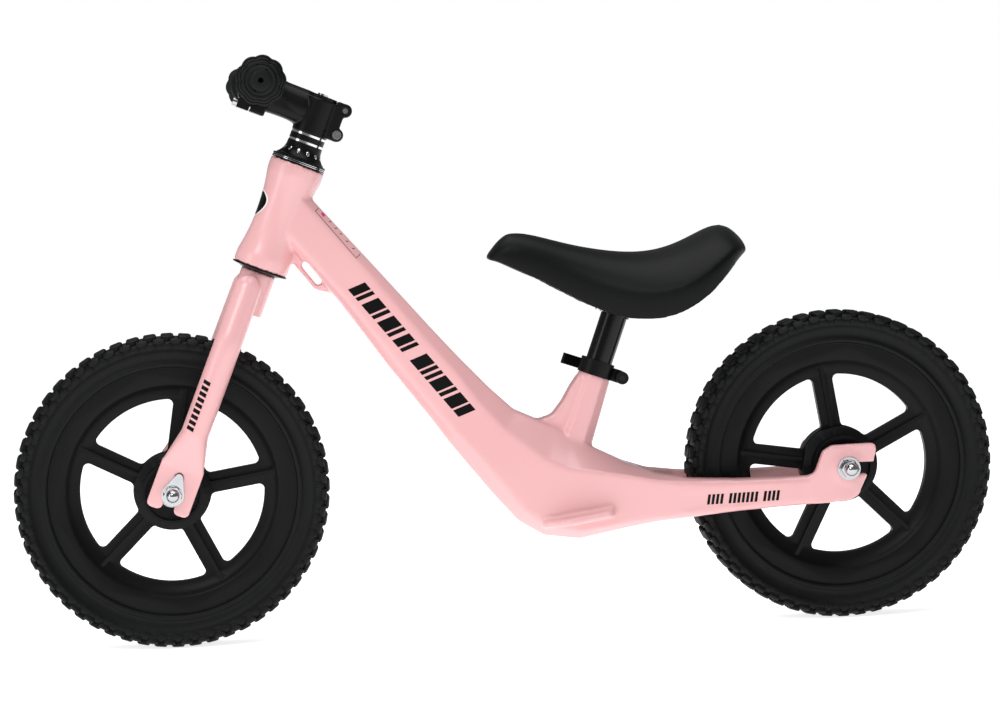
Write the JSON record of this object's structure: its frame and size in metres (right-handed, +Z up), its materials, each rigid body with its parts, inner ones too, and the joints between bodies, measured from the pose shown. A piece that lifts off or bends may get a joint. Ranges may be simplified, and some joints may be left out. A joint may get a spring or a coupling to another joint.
{
  "type": "balance bike",
  "caption": "Toddler's balance bike: cast one-piece frame, unicrown fork, spoked wheels with foam tyres, headset, stem and bar, and a saddle on a sliding quick-release post.",
  "frame": {"origin": "on the ground, midway between the axles, in the middle plane", "axes": "+X is the riding direction, +Y the rider's left, +Z up"},
  "size_m": [0.9298, 0.412, 0.5467],
  "materials": {
    "frame_paint": "satin pink paint",
    "fork_paint": "satin pink paint",
    "black_anodised": "black anodised, satin",
    "silver_alloy": "polished",
    "bearing_steel": "ground",
    "black_steel": "black paint, satin",
    "chrome_steel": "bright plated",
    "zinc_steel": "zinc plated",
    "rim_nylon": "moulded, satin",
    "tyre_foam": "moulded foam, matt",
    "grip_rubber": "matt",
    "saddle_foam": "self-skinned foam, matt",
    "pan_plastic": "moulded, matt"
  },
  "bodies": {
    "frame": {"frame": "frame_paint", "upper_headset_cup": "black_anodised", "lower_headset_cup": "black_anodised", "upper_headset_bearing": "bearing_steel", "lower_headset_bearing": "bearing_steel", "seat_clamp_collar": "black_anodised", "seat_clamp_skewer": "zinc_steel", "seat_clamp_nut": "black_steel", "seat_clamp_cam_pin": "zinc_steel", "rear_axle": "zinc_steel", "rear_hub_sleeve": "zinc_steel", "rear_axle_spacers": "zinc_steel", "rear_axle_washers": "zinc_steel", "rear_axle_nuts": "chrome_steel"},
    "clamp_lever": {"seat_clamp_lever": "black_anodised"},
    "seat": {"seat_post": "black_steel", "saddle_bracket": "black_steel", "saddle_bolts": "chrome_steel", "saddle_base": "pan_plastic", "saddle_pad": "saddle_foam"},
    "steering": {"fork": "fork_paint", "steerer_tube": "black_steel", "crown_race": "silver_alloy", "compression_ring": "silver_alloy", "headset_cover": "black_anodised", "headset_spacer": "black_anodised", "spacer_rings": "silver_alloy", "stem": "black_anodised", "stem_faceplate": "black_anodised", "faceplate_bolts": "chrome_steel", "stem_clamp_bolts": "chrome_steel", "star_nut": "black_steel", "top_cap": "black_anodised", "top_cap_bolt": "chrome_steel", "handlebar": "black_steel", "left_grip": "grip_rubber", "right_grip": "grip_rubber", "front_axle": "zinc_steel", "front_hub_sleeve": "zinc_steel", "front_axle_spacers": "zinc_steel", "front_tab_washers": "zinc_steel", "front_axle_nuts": "chrome_steel"},
    "front_wheel": {"front_rim": "rim_nylon", "front_tyre": "tyre_foam", "front_bearings": "bearing_steel"},
    "rear_wheel": {"rear_rim": "rim_nylon", "rear_tyre": "tyre_foam", "rear_bearings": "bearing_steel"}
  },
  "joints": [
    {"name": "steering", "type": "hinge", "parent": "frame", "child": "steering", "pos_m": [0.3124, 0, 0.14544], "axis": [-0.3746, 0, 0.9272], "continuous": true},
    {"name": "front_wheel_spin", "type": "hinge", "parent": "steering", "child": "front_wheel", "pos_m": [0.3175, 0, 0.1475], "axis": [0, 1, 0], "continuous": true},
    {"name": "rear_wheel_spin", "type": "hinge", "parent": "frame", "child": "rear_wheel", "pos_m": [-0.3175, 0, 0.1475], "axis": [0, 1, 0], "continuous": true},
    {"name": "seat_height", "type": "slide", "parent": "frame", "child": "seat", "axis": [-0.342, 0, 0.9397], "range_m": [-0.025, 0.06]},
    {"name": "clamp_lever", "type": "hinge", "parent": "frame", "child": "clamp_lever", "pos_m": [-0.10724, -0.0158, 0.23222], "axis": [0.342, 0, -0.9397], "range_deg": [0, 150]}
  ]
}
